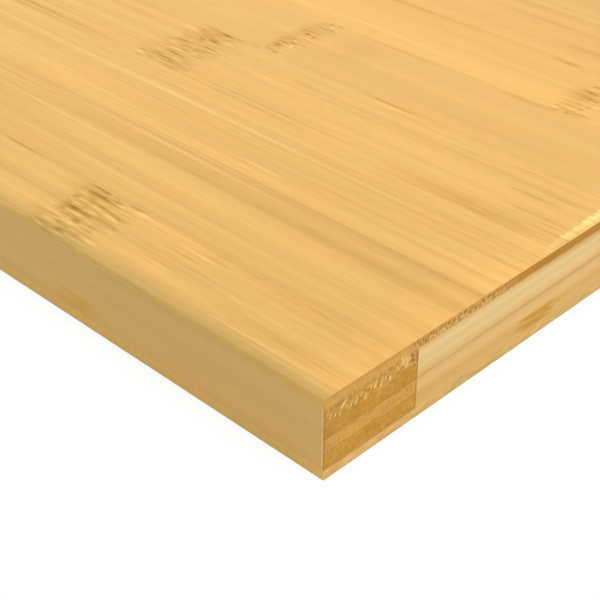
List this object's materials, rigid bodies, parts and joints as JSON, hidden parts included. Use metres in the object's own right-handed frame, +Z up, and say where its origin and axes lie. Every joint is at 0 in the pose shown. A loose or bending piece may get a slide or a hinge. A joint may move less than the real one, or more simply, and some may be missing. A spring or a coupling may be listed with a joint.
{
  "type": "bamboo shelf board",
  "caption": "Flat rectangular shelf board glued up from bamboo strips, with lengthwise strips on top, a crosswise middle layer between long edge rails, and softly rounded long edges.",
  "frame": {"origin": "middle of the underside, on the surface that the board lies on", "axes": "+X along the board's length towards the right end, +Y from the front edge towards the wall, +Z up through the thickness"},
  "size_m": [0.6, 0.2, 0.015],
  "materials": {
    "top_strip": "light bamboo, lengthwise grain, thin clear satin lacquer",
    "edge_rail": "light bamboo, lengthwise grain, darker stippled end grain on the sawn ends",
    "cross_strip": "pale bamboo, crosswise grain, bare and finely sawn on the ends",
    "bottom_strip": "light bamboo, crosswise grain, thin clear satin lacquer"
  },
  "bodies": {
    "root": {"back_rail_lower": "edge_rail", "back_rail_upper": "edge_rail", "bottom_strip_01": "bottom_strip", "bottom_strip_02": "bottom_strip", "bottom_strip_03": "bottom_strip", "bottom_strip_04": "bottom_strip", "bottom_strip_05": "bottom_strip", "bottom_strip_06": "bottom_strip", "bottom_strip_07": "bottom_strip", "bottom_strip_08": "bottom_strip", "bottom_strip_09": "bottom_strip", "bottom_strip_10": "bottom_strip", "bottom_strip_11": "bottom_strip", "bottom_strip_12": "bottom_strip", "bottom_strip_13": "bottom_strip", "bottom_strip_14": "bottom_strip", "bottom_strip_15": "bottom_strip", "bottom_strip_16": "bottom_strip", "bottom_strip_17": "bottom_strip", "bottom_strip_18": "bottom_strip", "bottom_strip_19": "bottom_strip", "bottom_strip_20": "bottom_strip", "bottom_strip_21": "bottom_strip", "bottom_strip_22": "bottom_strip", "bottom_strip_23": "bottom_strip", "bottom_strip_24": "bottom_strip", "bottom_strip_25": "bottom_strip", "bottom_strip_26": "bottom_strip", "bottom_strip_27": "bottom_strip", "bottom_strip_28": "bottom_strip", "bottom_strip_29": "bottom_strip", "bottom_strip_30": "bottom_strip", "front_rail_lower": "edge_rail", "front_rail_upper": "edge_rail", "inner_core_lower": "cross_strip", "inner_core_upper": "cross_strip", "left_end_strip_lower": "cross_strip", "left_end_strip_upper": "cross_strip", "right_end_strip_lower": "cross_strip", "right_end_strip_upper": "cross_strip", "top_strip_01": "top_strip", "top_strip_02": "top_strip", "top_strip_03": "top_strip", "top_strip_04": "top_strip", "top_strip_05": "top_strip", "top_strip_06": "top_strip", "top_strip_07": "top_strip", "top_strip_08": "top_strip", "top_strip_09": "top_strip", "top_strip_10": "top_strip", "top_strip_11": "top_strip"}
  },
  "joints": []
}
